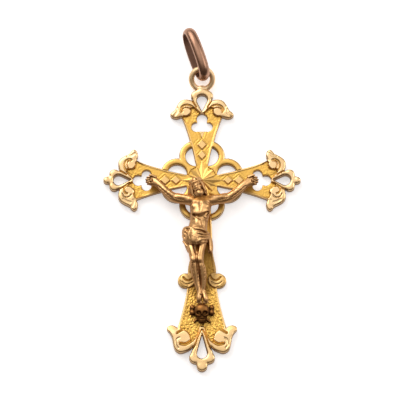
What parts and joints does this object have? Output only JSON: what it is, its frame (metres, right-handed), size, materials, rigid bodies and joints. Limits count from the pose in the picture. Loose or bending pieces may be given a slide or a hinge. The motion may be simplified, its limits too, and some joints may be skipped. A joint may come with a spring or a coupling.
{
  "type": "crucifix pendant",
  "caption": "Flat cross pendant with flared pierced arms, an applied cast figure over a small skull, and a broad oval bail on a soldered eye ring.",
  "frame": {"origin": "crossing of the arms, on the flat back of the plate", "axes": "+Z out of the front face, +Y along the cross toward the bail, +X to the viewer's right"},
  "size_m": [0.0296, 0.0532, 0.0048],
  "materials": {
    "yellow_gold": "struck yellow gold, polished scrolls on a punched matt ground",
    "cast_gold": "cast gold, satin, browned in the recesses",
    "darkened_gold": "cast gold, heavily browned",
    "rose_gold": "worn polished rose gold"
  },
  "bodies": {
    "root": {"cross": "yellow_gold", "corpus": "cast_gold", "skull_and_bones": "darkened_gold", "bail": "rose_gold"}
  },
  "joints": []
}
